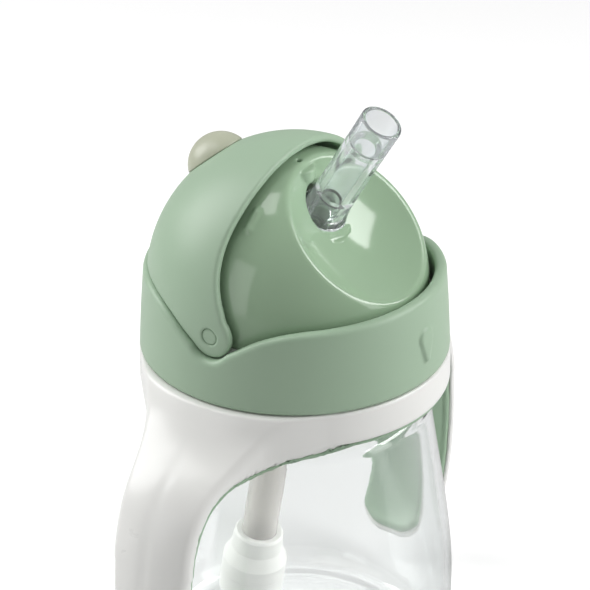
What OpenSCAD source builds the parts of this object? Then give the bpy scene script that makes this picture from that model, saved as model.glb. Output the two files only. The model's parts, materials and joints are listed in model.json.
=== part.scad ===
// Kids water bottle: clear bottle, two handles, flip-cover lid, soft spout and weighted straw.
// Units are millimetres. +Z is up, the drinking side faces -Y, and the cover turns about X.
// The origin is the centre of the face that the bottle stands on.

/* [Bottle] */
// height of the lid collar's lower edge above the table
collar_z = 95; // [85:0.5:110]
// wall of the clear bottle
wall = 2.0; // [1.4:0.1:3]
// widest outer radius of the bottle
belly_r = 41.8; // [38:0.1:46]
// outer radius of the neck
neck_r = 31.5; // [29:0.1:32]
// height of the bottle's mouth
neck_top = 105; // [102:0.5:106]

/* [Thread] */
// rise for one full turn of the lid
pitch = 5; // [4:0.5:6]

/* [Lid] */
// height of the hinge pins' axis
pin_z = 112.3; // [110:0.1:115]
// outer radius of the inner dome
dome_r = 33.8; // [32:0.1:34]
// outer radius of the flip cover
cover_r = 37.3; // [36.5:0.1:38]
// wall of the flip cover
cover_wall = 2.0; // [1.6:0.1:2.2]
// radius of the hinge pins
pin_r = 2.1; // [1.5:0.1:3]
// radius of the cover's round ear about each pin
ear_r = 5.7; // [5:0.1:6.5]
// angle the cover turns to close
flip = 79; // [70:1:85]

/* [Spout] */
// forward lean of the spout from upright
spout_lean = 30.7; // [20:0.1:40]
// length of the spout above its seat
spout_len = 33.4; // [28:0.1:38]
// outer radius of the spout
spout_r = 5.3; // [4.5:0.1:6]

/* [Straw] */
// backward lean of the straw from upright
straw_lean = 9.5; // [0:0.5:12]
// outer radius of the straw tube
straw_r = 4.7; // [3.5:0.1:5]

/* [Handles] */
// half width of each handle's strap
strap_hw = 11; // [9:0.1:13]
// thickness of the white strap at its centre
shell_t = 2.8; // [2:0.1:4]
// thickness of the soft liner at its centre
liner_t = 2.2; // [1.5:0.1:3]

/* [Hidden] */
$fn = 96;
gap = 0.3;
fit = 0.05;
deck_z = 108.8;
ring_top = collar_z;
ring_low = collar_z - 9.1;
notch_r = ear_r + gap;
sage = [0.66, 0.76, 0.67];
cream = [0.80, 0.81, 0.72];
white = [0.93, 0.93, 0.92];
clear = [0.92, 0.95, 0.95, 0.35];

// ---- curves ----------------------------------------------------------------
// point and unit tangent of a cubic curve through four control points
function bez(p, t) = p[0]*pow(1-t, 3) + 3*p[1]*pow(1-t, 2)*t
    + 3*p[2]*(1-t)*t*t + p[3]*pow(t, 3);
function dbez(p, t) = 3*(p[1]-p[0])*pow(1-t, 2) + 6*(p[2]-p[1])*(1-t)*t
    + 3*(p[3]-p[2])*t*t;
function unit(v) = v/norm(v);
// curve moved inwards by d, for walls drawn upwards on the right-hand side
function inset(p, t, d) = let(u = unit(dbez(p, t))) bez(p, t) + d*[-u[1], u[0]];
function along(p, n, d = 0) = [for (i = [0:n]) inset(p, i/n, d)];
function back(v) = [for (i = [len(v)-1:-1:0]) v[i]];
function arc(c, r, a0, a1, n) = [for (i = [0:n])
    c + r*[cos(a0 + (a1-a0)*i/n), sin(a0 + (a1-a0)*i/n)]];

// closed skin through rows of points, each row a loop with the same even count;
// each end is closed with a strip between the loop's two halves
module skin(rows) {
    m = len(rows[0]);
    n = len(rows);
    pts = [for (r = rows) for (p = r) p];
    sides = [for (i = [0:n-2]) for (j = [0:m-1]) each [
        [i*m + j, i*m + (j+1)%m, (i+1)*m + j],
        [i*m + (j+1)%m, (i+1)*m + (j+1)%m, (i+1)*m + j]]];
    strip = concat([[0, 1, m-1]], [for (k = [1:m/2-2]) each
        [[k, k+1, m-k-1], [k, m-k-1, m-k]]], [[m/2-1, m/2, m/2+1]]);
    low = [for (f = strip) [f[2], f[1], f[0]]];
    high = [for (f = strip) [for (q = f) q + (n-1)*m]];
    polyhedron(points = pts, faces = concat(sides, low, high), convexity = 8);
}

// one screw ridge: root and crest radii, start height, turns, direction of the crest
module ridge(root, crest, z0, turns) {
    steps = round(40*turns);
    function full(i) = min(1, min(i, steps-i)/4 + 0.02);
    skin([for (i = [0:steps]) let(
            a = 360*turns*i/steps,
            z = z0 + pitch*turns*i/steps,
            c = root + (crest-root)*full(i),
            s = crest > root ? 1 : -1,
            q = [[root, -1.2], [c, -0.5], [c, 0.5], [root, 1.2]])
        [for (k = [0:3]) let(e = q[s > 0 ? k : 3-k])
            [e[0]*cos(a), e[0]*sin(a), z + e[1]]]]);
}

// ---- bottle ----------------------------------------------------------------
foot_curve = [[35, 0], [39.6, 0.1], [belly_r, 8], [belly_r, 24]];
body_curve = [[belly_r, 24], [belly_r, 40], [38, 56], [35, 77.5]];
neck_curve = [[35, 77.5], [34.48, 81.2], [neck_r, 80.2], [neck_r, 84.4]];
module bottle_body() {
    color(clear)
    union() {
        rotate_extrude()
        polygon(concat(
            [[0, 3.2], [12, 2.9], [24, 1.6], [31, 0]],
            along(foot_curve, 12), along(body_curve, 18), along(neck_curve, 6),
            [[neck_r, neck_top-0.6], [neck_r-0.6, neck_top],
             [neck_r-wall+0.4, neck_top], [neck_r-wall, neck_top-0.4]],
            back(along(neck_curve, 6, wall)), back(along(body_curve, 18, wall)),
            back([for (i = [2:12]) inset(foot_curve, i/12, wall)]),
            [[31, 2.6], [24, 3.9], [12, 5.1], [0, 5.4]]));
        // screw ridge on the neck
        ridge(neck_r-0.3, neck_r+1.4, 97.2, 1.25);
    }
}

// ---- handles ---------------------------------------------------------------
// each row: outer centre x z, inner centre x z, edge x y z, roundness of the strap (0 at the ring)
function rel(v) = [v[0], collar_z+v[1], v[2], collar_z+v[3], v[4], v[5], collar_z+v[6], v[7]];
stations = [for (v = [
    [37.2, -1.5, 35.9, -10.4, 20.2, 31.4, -5.2, 0],
    [40.3, -0.8, 37.6, -11.2, 28.4, 26.4, -8.8, 0.1],
    [41.9, -2.0, 39.0, -11.9, 34.2, 21.8, -11.6, 0.3],
    [43.7, -4.6, 41.2, -12.5, 38.0, 18.6, -13.0, 0.5],
    [46.4, -7.8, 44.2, -13.2, 42.4, 16.0, -14.2, 0.7],
    [50.0, -10.6, 48.2, -13.6, 47.2, 14.0, -15.2, 0.85],
    [54.2, -13.3, 52.4, -15.9, 52.0, 12.6, -17.6, 1],
    [58.4, -16.9, 56.2, -19.0, 56.0, 11.9, -20.9, 1],
    [61.9, -21.6, 59.4, -23.2, 59.2, 11.5, -24.9, 1],
    [64.2, -27.6, 61.5, -28.6, 61.3, 11.2, -29.6, 1],
    [65.5, -35.0, 62.7, -35.5, 62.5, 11, -36.0, 1],
    [66.1, -44.0, 63.3, -44.2, 63.1, 11, -44.4, 1],
    [66.2, -53.0, 63.4, -52.9, 63.2, 11, -52.8, 1],
    [65.5, -62.0, 62.7, -61.5, 62.5, 11, -61.1, 1],
    [63.9, -70.4, 61.2, -69.5, 61.0, 11, -69.0, 1],
    [61.1, -77.8, 58.7, -76.3, 58.5, 10.8, -75.8, 1],
    [57.4, -83.4, 55.5, -81.4, 55.3, 10.0, -80.9, 1],
    [53.6, -86.4, 52.5, -84.4, 52.3, 8.0, -84.0, 1],
    [51.4, -87.2, 50.9, -86.0, 50.8, 5.0, -85.8, 1]]) rel(v)];
// crown of the strap across its width: a circle at the ring, a full oval further out
function crown(s, w) = let(
    r2 = 1400,
    a = (sqrt(r2 - pow(s[5]*w, 2)) - sqrt(r2 - s[5]*s[5])) / (sqrt(r2) - sqrt(r2 - s[5]*s[5])),
    b = pow(max(0, 1 - pow(abs(w), 2.4)), 0.55))
    a*(1-s[7]) + b*s[7];
function edge_p(s, w) = [s[4], s[5]*w, s[6]];
function shell_out(s, w) = let(c = crown(s, w)) [s[4] + (s[0]-s[4])*c, s[5]*w, s[6] + (s[1]-s[6])*c];
function flat_in(s, w) = let(c = crown(s, w)*(1-s[7]) + (1 - pow(abs(w), 3))*s[7])
    [s[4] + (s[2]-s[4])*c, s[5]*w, s[6] + (s[3]-s[6])*c];
// direction from the outer centre to the inner centre, towards the bottle
function inward(s) = unit([s[2]-s[0], 0, s[3]-s[1]]);
ws = [for (i = [-8:8]) sin(90*i/8)];
module strap_shell() {
    skin([for (s = stations) concat(
        [for (w = ws) shell_out(s, w)],
        [for (i = [15:-1:1]) flat_in(s, ws[i]) + 0.02*inward(s)])]);
}
// one row of the liner; the first row is pushed into the ring
function liner_row(s, d) = let(n = inward(s)) concat(
    [for (i = [1:15]) flat_in(s, 0.94*ws[i]) + fit*1.6*n + d],
    [for (i = [15:-1:1]) flat_in(s, 0.94*ws[i]) + d
        + (fit*1.6 + 0.5 + (liner_t-0.5)*(1-pow(abs(ws[i]), 4)))*n]);
module strap_liner() {
    skin(concat([liner_row(stations[0], [-2, 0, -0.4])],
        [for (s = stations) liner_row(s, [0, 0, 0])]));
}
module both_sides() {
    children();
    rotate([0, 0, 180]) children();
}
module handle_shell() {
    color(white)
    union() {
        rotate_extrude()
        polygon(concat([[32.0, ring_top], [32.0, ring_top-2.4], [34.6, ring_top-2.4],
            [36.9, ring_low+0.3], [37.3, ring_low]],
            arc([38.4, ring_low+1.1], 1.1, -90, 0, 4),
            [[39.55, ring_top-0.5], [39.1, ring_top]]));
        both_sides() strap_shell();
    }
}
module handle_liner() {
    color(sage)
    union() {
        rotate_extrude()
        polygon([[32.0, ring_top-2.5], [32.0, ring_low-0.3], [32.7, ring_low-1.1],
            [35.6, ring_low-1.1], [35.6, ring_low-0.1], [34.5, ring_top-2.5]]);
        both_sides() {
            // the thin green line under the ring, at the front and the back
            rotate([0, 0, 47])
            rotate_extrude(angle = 86)
            polygon([[35.2, ring_low-1.1], [38.6, ring_low-1.1], [38.9, ring_low-0.8],
                [38.7, ring_low-0.1], [35.2, ring_low-0.1]]);
            // root of the strap's liner
            rotate([0, 0, -24])
            rotate_extrude(angle = 48)
            polygon([[33.6, ring_low-0.6], [33.6, ring_low-3.6], [35.6, ring_low-3.6],
                [35.6, ring_low-0.6]]);
            difference() {
                strap_liner();
                translate([0, 0, ring_low-0.06]) cylinder(r = 39.62, h = 40);
            }
        }
    }
}

// ---- lid collar ------------------------------------------------------------
// side view of the collar's top edge: a steep line past the ear, a blend, an almost level line
steep = 33;
level = 3.3;
function line_d(g) = ear_r - 0.1 - g;
function level_z(g) = 2.97 + g/cos(level);
function corner(g) = let(y = (level_z(g) + line_d(g)/cos(steep)) / (tan(steep)-tan(level)))
    [y, level_z(g) + y*tan(level)];
function blend_c(g, r) = let(n1 = [sin(steep), -cos(steep)], n2 = [sin(level), -cos(level)])
    corner(g) + r*(n1+n2)/(1 + n1*n2);
// region above that edge, on the side where the first axis is positive; g lifts it for the cover
module above_edge(g) {
    r = 30 + g;
    t = line_d(g)*[sin(steep), -cos(steep)];
    a = 90 + steep;
    b = 90 + level;
    polygon(concat([t], arc(blend_c(g, r), r, a, b, 10),
        [[60, level_z(g) + 60*tan(level)], [60, 80], [-60, 80], [-60, -60], [t[0], -60]]));
}
// the part of the collar that the cover's swing and ears need
module rim_cut() {
    intersection() {
        above_edge(0);
        mirror([1, 0]) above_edge(0);
        polygon([[-60, 80], [60, 80], [60, 2], [3, -4.6], [-3, -4.6], [-60, 2]]);
    }
    circle(r = notch_r);
}
// a flat outline in side view, made solid across the lid and centred on the pins
module across(h) {
    translate([0, 0, pin_z]) rotate([90, 0, 90])
    linear_extrude(height = h, center = true) children();
}
module lid_collar() {
    color(sage)
    union() {
        difference() {
            rotate_extrude()
            polygon([[36.6, collar_z+gap], [39.0, collar_z+gap], [39.35, collar_z+0.8],
                [38.75, collar_z+11], [37.95, collar_z+22], [37.75, collar_z+26],
                [35, collar_z+26], [35, 103], [36.6, 101.4]]);
            across(90) rim_cut();
        }
        // raised drop on the front, its point downwards
        hull() {
            for (x = [-0.55, 0.55])
                translate([x, -38.45, collar_z+12.2]) scale([1, 0.4, 1]) sphere(r = 2.4, $fn = 32);
            translate([0, -38.75, collar_z+6.8]) scale([1, 0.6, 1]) sphere(r = 1.2, $fn = 24);
        }
    }
}
module lid_thread_ring() {
    color(white)
    union() {
        difference() {
            rotate_extrude()
            polygon([[24, 106.8], [33.4, 106.8], [33.4, collar_z+gap+0.5], [33.9, collar_z+gap],
                [34.9, collar_z+gap], [34.9, deck_z], [24, deck_z]]);
            for (s = [-1, 1])
                translate([s*44.3, 0, pin_z]) rotate([0, 90, 0])
                cylinder(r = notch_r+0.1, h = 20, center = true);
            // seats for the pin bosses of the dome
            for (s = [-1, 1])
                translate([s*31, 0, pin_z]) rotate([0, 90, 0])
                cylinder(r = 3.7, h = 6, center = true);
        }
        // screw ridge inside the skirt, half a turn away from the neck's
        rotate([0, 0, 180]) ridge(33.7, 31.95, 97.2, 1.25);
    }
}
module lid_gasket() {
    color(clear)
    rotate_extrude()
    polygon([[28.6, neck_top+0.1], [32.6, neck_top+0.1], [32.6, 106.7], [31.4, 106.7],
        [30.9, 106.4], [30.3, 106.4], [29.8, 106.7], [28.6, 106.7]]);
}

// ---- dome ------------------------------------------------------------------
// the dome is turned about the axis of its dished face
dish_el = 45.9;
dish_off = 59.2;
dish_r = 38.4;
module on_dish_axis() {
    translate([0, 0, pin_z]) rotate([90-dish_el, 0, 0]) children();
}
module dome_outline(shrink) {
    r = dome_r - shrink;
    intersection() {
        circle(r = r);
        translate([0, -r]) square([r, 2*r]);
    }
}
module dome_solid(shrink) {
    difference() {
        union() {
            sphere(r = dome_r - shrink, $fn = 128);
            translate([0, 0, -6]) cylinder(r = dome_r - shrink, h = 6, $fn = 128);
        }
        rotate([90-dish_el, 0, 0]) translate([0, 0, dish_off])
            sphere(r = dish_r + shrink, $fn = 128);
    }
}
// a small round-edged band that softens the dish's outer edge
module dish_lip() {
    rotate([90-dish_el, 0, 0])
    difference() {
        translate([0, 0, 25.5]) cylinder(r = 23, h = 4);
        translate([0, 0, 25.4]) cylinder(r = 20.1, h = 4.2);
    }
}
spout_dir = [0, -sin(spout_lean), cos(spout_lean)];
spout_base = [0, -7.9, pin_z+20.3];
module on_spout() {
    translate(spout_base) rotate([spout_lean, 0, 0]) children();
}
vent_turn = [3.6, -2.5, 0];
module on_vent() {
    translate([0, 0, pin_z]) rotate(vent_turn) children();
}
module lid_dome() {
    color(sage)
    difference() {
        union() {
            intersection() {
                difference() {
                    translate([0, 0, pin_z]) dome_solid(0);
                    translate([0, 0, pin_z]) dome_solid(2.2);
                }
                translate([0, 0, deck_z+0.02]) cylinder(r = 40, h = 60);
            }
            // seat of the spout
            on_spout() translate([0, 0, -4.5]) cylinder(r = 8.2, h = 4.1);
            // pin bosses
            for (s = [-1, 1])
                translate([s*32, 0, pin_z]) rotate([0, 90, 0])
                cylinder(r = 3.5, h = 5.4, center = true);
            // catch bumps for the cover
            for (s = [-1, 1])
                translate([0, 0, pin_z]) rotate([0, s*40, 0]) rotate([5.5, 0, 0])
                translate([0, 0, dome_r-1]) hull() {
                    translate([-2.2*s, 0, 0]) sphere(r = 1.6, $fn = 24);
                    translate([2.2*s, 0, 0]) sphere(r = 1.6, $fn = 24);
                }
            // cup of the vent valve
            on_vent() translate([0, 0, 28.8]) cylinder(r = 4.2, h = 3.6);
        }
        on_spout() translate([0, 0, 0]) cylinder(r = 6.5, h = 8);
        on_spout() translate([0, 0, -6]) cylinder(r = 4.7, h = 8);
        for (s = [-1, 1])
            translate([s*32, 0, pin_z]) rotate([0, 90, 0])
            cylinder(r = pin_r+0.02, h = 8, center = true);
        on_vent() translate([0, 0, 28.0]) cylinder(r = 3.1, h = 3.2);
        on_vent() cylinder(r = 0.6, h = 40);
    }
}
module vent_valve() {
    color(clear)
    on_vent()
    rotate_extrude()
    polygon([[0.5, 31.15], [3.05, 31.15], [3.05, 29.4], [2.3, 29.4], [2.3, 30.2],
        [1.4, 30.0], [0.9, 27.6], [0.3, 27.6], [0.5, 29.6]]);
}

// ---- flip cover ------------------------------------------------------------
module cover_outline() {
    mid = 180 - (180-7+87)/2 + 0.25;
    intersection() {
        above_edge(gap);
        rotate(-flip-0.0) mirror([1, 0]) above_edge(gap);
        rotate(mid) translate([-1.6, -50]) square([100, 100]);
    }
    circle(r = ear_r);
}
module flip_cover() {
    color(sage)
    difference() {
        intersection() {
            translate([0, 0, pin_z]) difference() {
                sphere(r = cover_r, $fn = 128);
                sphere(r = cover_r - cover_wall, $fn = 128);
            }
            across(90) cover_outline();
        }
        for (s = [-1, 1])
            translate([s*36, 0, pin_z]) rotate([0, 90, 0])
            cylinder(r = pin_r+fit, h = 10, center = true);
        translate([0, 0, pin_z]) rotate([-41, 0, 0]) cylinder(r = 3.05, h = 60);
    }
}
module cover_knob() {
    color(cream)
    translate([0, 0, pin_z]) rotate([-41, 0, 0])
    union() {
        difference() {
            translate([0, 0, 34.0]) sphere(r = 8.4);
            sphere(r = cover_r+0.03, $fn = 128);
        }
        translate([0, 0, 35.1]) cylinder(r = 3, h = 4);
    }
}
module hinge_pin(s) {
    translate([s*29.4, 0, pin_z]) rotate([0, s*90, 0])
    union() {
        cylinder(r = pin_r, h = 7.5);
        translate([0, 0, 7.5]) cylinder(r1 = pin_r, r2 = pin_r-0.3, h = 0.3);
    }
}
module hinge_pin_left() { color(sage) hinge_pin(-1); }
module hinge_pin_right() { color(sage) hinge_pin(1); }

// ---- spout -----------------------------------------------------------------
module drinking_spout() {
    color(clear)
    on_spout()
    rotate_extrude()
    polygon(concat(
        [[3.45, -5.7], [7.4, -5.7], [7.4, -4.55], [4.65, -4.55], [4.65, 0.05], [6.2, 0.05],
         [6.3, 0.9], [6.0, 1.9], [5.6, 3.0], [spout_r, 5.2], [spout_r-0.05, 24]],
        arc([4.75, spout_len-0.55], 0.55, 0, 180, 6),
        [[4.2, 25.4], [3.9, 24.7], [2.8, 24.4], [2.8, 7.2], [3.45, 6.6]]));
}
module spout_retainer() {
    color(white)
    on_spout()
    rotate_extrude()
    polygon([[4.9, -7.2], [8.7, -7.2], [9.0, -6.8], [9.0, -4.6], [8.6, -4.2],
        [8.25, -4.2], [8.25, -5.75], [4.9, -5.75]]);
}

// ---- straw -----------------------------------------------------------------
straw_top = spout_base - 7.7*spout_dir;
module on_straw() {
    translate(straw_top) rotate([180+straw_lean, 0, 0]) children();
}
module straw_connector() {
    color(white)
    difference() {
        union() {
            on_spout() translate([0, 0, -7.7]) cylinder(r = 3.4, h = 14);
            translate(straw_top) sphere(r = 3.85);
            on_straw() cylinder(r = 3.3, h = 15);
        }
        on_spout() translate([0, 0, -7.7]) cylinder(r = 2.3, h = 20);
        translate(straw_top) sphere(r = 2.6);
        on_straw() cylinder(r = 2.3, h = 20);
    }
}
module straw_tube() {
    color([0.95, 0.94, 0.90])
    on_straw()
    rotate_extrude()
    polygon([[3.4, 5.6], [3.7, 5.2], [straw_r-0.3, 5.2], [straw_r, 5.6], [straw_r, 99.6],
        [straw_r-0.3, 100], [3.7, 100], [3.4, 99.6]]);
}
module weight_upper() {
    color(white)
    on_straw()
    rotate_extrude()
    polygon([[straw_r+0.05, 94], [6.1, 94], [6.6, 94.6], [7.0, 99], [8.7, 102.6], [8.7, 107],
        [7.5, 107], [7.5, 102.8], [5.2, 100.4], [2.4, 100.4], [2.4, 100.05], [straw_r+0.05, 100.05]]);
}
module weight_lower() {
    color(white)
    on_straw()
    rotate_extrude()
    polygon(concat([[7.5, 107.05], [8.7, 107.05], [8.7, 112.4]],
        arc([4.2, 112.4], 4.5, 0, 90, 8),
        [[4.2, 115.5], [7.2, 114.1], [7.5, 113.2]]));
}
module weight_core() {
    color([0.70, 0.71, 0.72])
    on_straw()
    difference() {
        translate([0, 0, 103]) cylinder(r = 7.4, h = 10.1);
        translate([0, 0, 102]) cylinder(r = 3, h = 13);
    }
}
module inlet_strainer() {
    color(white)
    on_straw()
    difference() {
        union() {
            translate([0, 0, 115.6]) cylinder(r = 4.15, h = 1.3);
            translate([0, 0, 113.2]) cylinder(r = 4.15, h = 2.4);
        }
        translate([0, 0, 113]) cylinder(r = 3.2, h = 2.9);
        cylinder(r = 0.7, h = 130);
        for (a = [0:60:300])
            rotate([0, 0, a]) translate([2.1, 0, 110]) cylinder(r = 0.6, h = 20);
    }
}

// ---- placing ---------------------------------------------------------------
bottle_body();
handle_shell();
handle_liner();
lid_collar();
lid_thread_ring();
lid_dome();
lid_gasket();
vent_valve();
flip_cover();
cover_knob();
hinge_pin_left();
hinge_pin_right();
drinking_spout();
spout_retainer();
straw_connector();
straw_tube();
weight_upper();
weight_lower();
weight_core();
inlet_strainer();
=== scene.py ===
# %% [markdown]
# # Kids water bottle
# A two-handled toddler bottle: a clear bottle, a white handle ring with a green liner, a green screw lid
# with a glossy dome, a cover that swings over the dome, a soft clear spout and a weighted straw. Each
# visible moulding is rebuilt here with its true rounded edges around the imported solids. The pieces inside
# the lid and on the straw keep their solids and only get a finish. The first cell loads the frame, which
# says where each solid is and which body it moves with.

# %% Frame
import json
import math

import bmesh
import bpy
import numpy as np
from mathutils import Matrix, Vector

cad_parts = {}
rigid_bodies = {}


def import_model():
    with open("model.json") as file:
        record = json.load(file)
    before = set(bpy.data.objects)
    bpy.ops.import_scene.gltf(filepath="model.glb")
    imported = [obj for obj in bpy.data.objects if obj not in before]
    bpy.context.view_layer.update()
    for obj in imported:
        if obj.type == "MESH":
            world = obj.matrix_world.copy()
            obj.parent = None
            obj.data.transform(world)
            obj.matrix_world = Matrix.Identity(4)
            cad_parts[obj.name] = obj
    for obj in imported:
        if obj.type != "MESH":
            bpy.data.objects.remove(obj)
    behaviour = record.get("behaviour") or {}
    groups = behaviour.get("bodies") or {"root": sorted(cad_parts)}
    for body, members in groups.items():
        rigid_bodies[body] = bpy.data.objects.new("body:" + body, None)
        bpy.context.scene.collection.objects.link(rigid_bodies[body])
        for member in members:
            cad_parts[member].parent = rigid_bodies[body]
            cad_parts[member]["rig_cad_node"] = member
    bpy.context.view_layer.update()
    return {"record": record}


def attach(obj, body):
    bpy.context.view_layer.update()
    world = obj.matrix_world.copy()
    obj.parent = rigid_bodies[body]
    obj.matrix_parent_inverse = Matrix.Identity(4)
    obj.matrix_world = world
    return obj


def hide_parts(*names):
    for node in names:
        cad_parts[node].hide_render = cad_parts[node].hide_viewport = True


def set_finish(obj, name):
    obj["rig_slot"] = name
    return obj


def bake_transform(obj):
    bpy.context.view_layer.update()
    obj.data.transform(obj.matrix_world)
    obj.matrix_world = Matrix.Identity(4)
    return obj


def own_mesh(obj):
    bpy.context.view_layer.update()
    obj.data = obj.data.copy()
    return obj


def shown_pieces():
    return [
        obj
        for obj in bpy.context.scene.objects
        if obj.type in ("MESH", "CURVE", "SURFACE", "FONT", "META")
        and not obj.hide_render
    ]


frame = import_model()
scene = bpy.context.scene
MAT_SLOT = {part["node"]: part["material_slot"] for part in frame["record"]["subparts"]}

# %% [markdown]
# ## Sizes that several pieces share
# The origin is at the middle of the foot, Z points up and the drinking side faces -Y. These sizes are in
# millimetres and repeat those of the solids, so that each visible piece lies on its solid. A size that
# only one piece uses is named at that piece.

# %% Shared sizes
PIN_Z = 112.3
PINS = np.array([0.0, 0.0, PIN_Z])
COLLAR_Z = 95.0
RING_LOW = COLLAR_Z - 9.1
DOME_R = 33.8
COVER_R = 37.3
EAR_R = 5.7
FLIP = math.radians(79.0)
DISH_RISE = math.radians(45.9)
DISH_N = np.array([0.0, -math.cos(DISH_RISE), math.sin(DISH_RISE)])
SPOUT_LEN = 33.4
SPOUT_LEAN = math.radians(30.7)
SPOUT_BASE = np.array([0.0, -7.9, PIN_Z + 20.3])
SPOUT_DIR = np.array([0.0, -math.sin(SPOUT_LEAN), math.cos(SPOUT_LEAN)])
STRAW_LEAN = math.radians(9.5)
STRAW_TOP = SPOUT_BASE - 7.7 * SPOUT_DIR
STRAW_DIR = np.array([0.0, math.sin(STRAW_LEAN), -math.cos(STRAW_LEAN)])
print("pin axis at", PIN_Z, "mm, spout length", SPOUT_LEN, "mm")

# %% [markdown]
# ## Finishes
# Almost everything here is moulded plastic or soft silicone, and such a surface is never quite even. The
# mould leaves a fine grain, and hands leave slightly duller and brighter places. Both could be painted as
# pictures. Noise on Object coordinates needs no pictures, has no seams and stays sharp close up, so it is
# used here. What the plastics share goes into two node groups, and each plastic gives them its own
# amounts.


# %% Node helpers
def node(tree, kind, **props):
    """A new node with some of its properties set."""
    made = tree.nodes.new(kind)
    for key, value in props.items():
        setattr(made, key, value)
    return made


def group(name, inputs, outputs):
    """An empty shader group with named sockets, and its two end nodes."""
    tree = bpy.data.node_groups.new(name, "ShaderNodeTree")
    for label, kind, value in inputs:
        tree.interface.new_socket(label, in_out="INPUT", socket_type=kind).default_value = value
    for label, kind in outputs:
        tree.interface.new_socket(label, in_out="OUTPUT", socket_type=kind)
    return tree, node(tree, "NodeGroupInput"), node(tree, "NodeGroupOutput")


print("node helpers ready")

# %% Moulded grain
GRAIN, given, result = group("moulded_grain",
                             [("Scale", "NodeSocketFloat", 3000.0), ("Wave", "NodeSocketFloat", 90.0),
                              ("Wave Amount", "NodeSocketFloat", 0.2)],
                             [("Height", "NodeSocketFloat")])
place = node(GRAIN, "ShaderNodeTexCoord")
fine = node(GRAIN, "ShaderNodeTexNoise", noise_dimensions="3D")
fine.inputs["Detail"].default_value = 3.0
slow = node(GRAIN, "ShaderNodeTexNoise")
slow.inputs["Detail"].default_value = 1.0
total = node(GRAIN, "ShaderNodeMath", operation="MULTIPLY_ADD")
link = GRAIN.links.new
for noise, scale in ((fine, "Scale"), (slow, "Wave")):
    link(place.outputs["Object"], noise.inputs["Vector"])
    link(given.outputs[scale], noise.inputs["Scale"])
link(slow.outputs["Fac"], total.inputs[0])
link(given.outputs["Wave Amount"], total.inputs[1])
link(fine.outputs["Fac"], total.inputs[2])
link(total.outputs[0], result.inputs["Height"])
print("grain group:", len(GRAIN.nodes), "nodes")

# %% Handled surface
HANDLED, given, result = group("handled",
                               [("Color", "NodeSocketColor", (0.5, 0.5, 0.5, 1)),
                                ("Roughness", "NodeSocketFloat", 0.4), ("Shift", "NodeSocketFloat", 0.04),
                                ("Smudge", "NodeSocketFloat", 0.06)],
                               [("Color", "NodeSocketColor"), ("Roughness", "NodeSocketFloat")])
place = node(HANDLED, "ShaderNodeTexCoord")
link = HANDLED.links.new


def centred_noise(scale, detail, distortion=0.0):
    """Noise that varies about nought."""
    noise = node(HANDLED, "ShaderNodeTexNoise")
    noise.inputs["Scale"].default_value = scale
    noise.inputs["Detail"].default_value = detail
    noise.inputs["Distortion"].default_value = distortion
    link(place.outputs["Object"], noise.inputs["Vector"])
    middle = node(HANDLED, "ShaderNodeMath", operation="SUBTRACT")
    middle.inputs[1].default_value = 0.5
    link(noise.outputs["Fac"], middle.inputs[0])
    return middle.outputs[0]


brightness = node(HANDLED, "ShaderNodeMath", operation="MULTIPLY_ADD")
brightness.inputs[2].default_value = 1.0
link(centred_noise(38.0, 4.0), brightness.inputs[0])
link(given.outputs["Shift"], brightness.inputs[1])
tone = node(HANDLED, "ShaderNodeHueSaturation")
link(brightness.outputs[0], tone.inputs["Value"])
link(given.outputs["Color"], tone.inputs["Color"])
link(tone.outputs["Color"], result.inputs["Color"])
dullness = node(HANDLED, "ShaderNodeMath", operation="MULTIPLY_ADD")
link(centred_noise(120.0, 5.0, 0.6), dullness.inputs[0])
link(given.outputs["Smudge"], dullness.inputs[1])
link(given.outputs["Roughness"], dullness.inputs[2])
link(dullness.outputs[0], result.inputs["Roughness"])
print("handling group:", len(HANDLED.nodes), "nodes")


# %% Moulded plastic
def shader(name):
    """A new material, its tree and its Principled shader."""
    made = bpy.data.materials.new(name)
    made.use_nodes = True
    return made, made.node_tree, made.node_tree.nodes["Principled BSDF"]


def grainy(tree, bsdf, scale, wave, depth):
    """Grain of a depth in millimetres on a shader."""
    grain = node(tree, "ShaderNodeGroup", node_tree=GRAIN)
    grain.inputs["Scale"].default_value = scale
    grain.inputs["Wave Amount"].default_value = wave
    bump = node(tree, "ShaderNodeBump")
    bump.inputs["Strength"].default_value = 1.0
    bump.inputs["Distance"].default_value = depth / 1000.0
    tree.links.new(grain.outputs["Height"], bump.inputs["Height"])
    tree.links.new(bump.outputs["Normal"], bsdf.inputs["Normal"])


def plastic(name, color, rough, grain=3000.0, bump=0.03, shift=0.05, smudge=0.08, spec=0.5, glow=0.0, wave=0.2,
            transmission=0.0, ior=1.5):
    """Coloured plastic; glow is how much light travels a little way under its surface."""
    made, tree, bsdf = shader(name)
    handled = node(tree, "ShaderNodeGroup", node_tree=HANDLED)
    for socket, value in (("Color", (*color, 1)), ("Roughness", rough), ("Shift", shift), ("Smudge", smudge)):
        handled.inputs[socket].default_value = value
    tree.links.new(handled.outputs["Color"], bsdf.inputs["Base Color"])
    tree.links.new(handled.outputs["Roughness"], bsdf.inputs["Roughness"])
    grainy(tree, bsdf, grain, wave, bump)
    bsdf.inputs["IOR"].default_value = ior
    bsdf.inputs["Specular IOR Level"].default_value = spec
    bsdf.inputs["Transmission Weight"].default_value = transmission
    if glow:
        bsdf.inputs["Subsurface Weight"].default_value = glow
        bsdf.inputs["Subsurface Radius"].default_value = (0.004, 0.004, 0.004)
        bsdf.inputs["Subsurface Scale"].default_value = 1.0
    return made


print("plastic recipe ready")

# %% [markdown]
# ## Clear plastic and clear silicone
# The bottle is thin clear plastic and the spout is softer and a little milky. Plain glass could do for
# both, but it turns black at its edges and throws a hard dark shadow. Here the colour deepens only where
# the wall is seen edge on, and shadow rays pass straight through with a slight loss, as light does
# through a thin wall.


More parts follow.
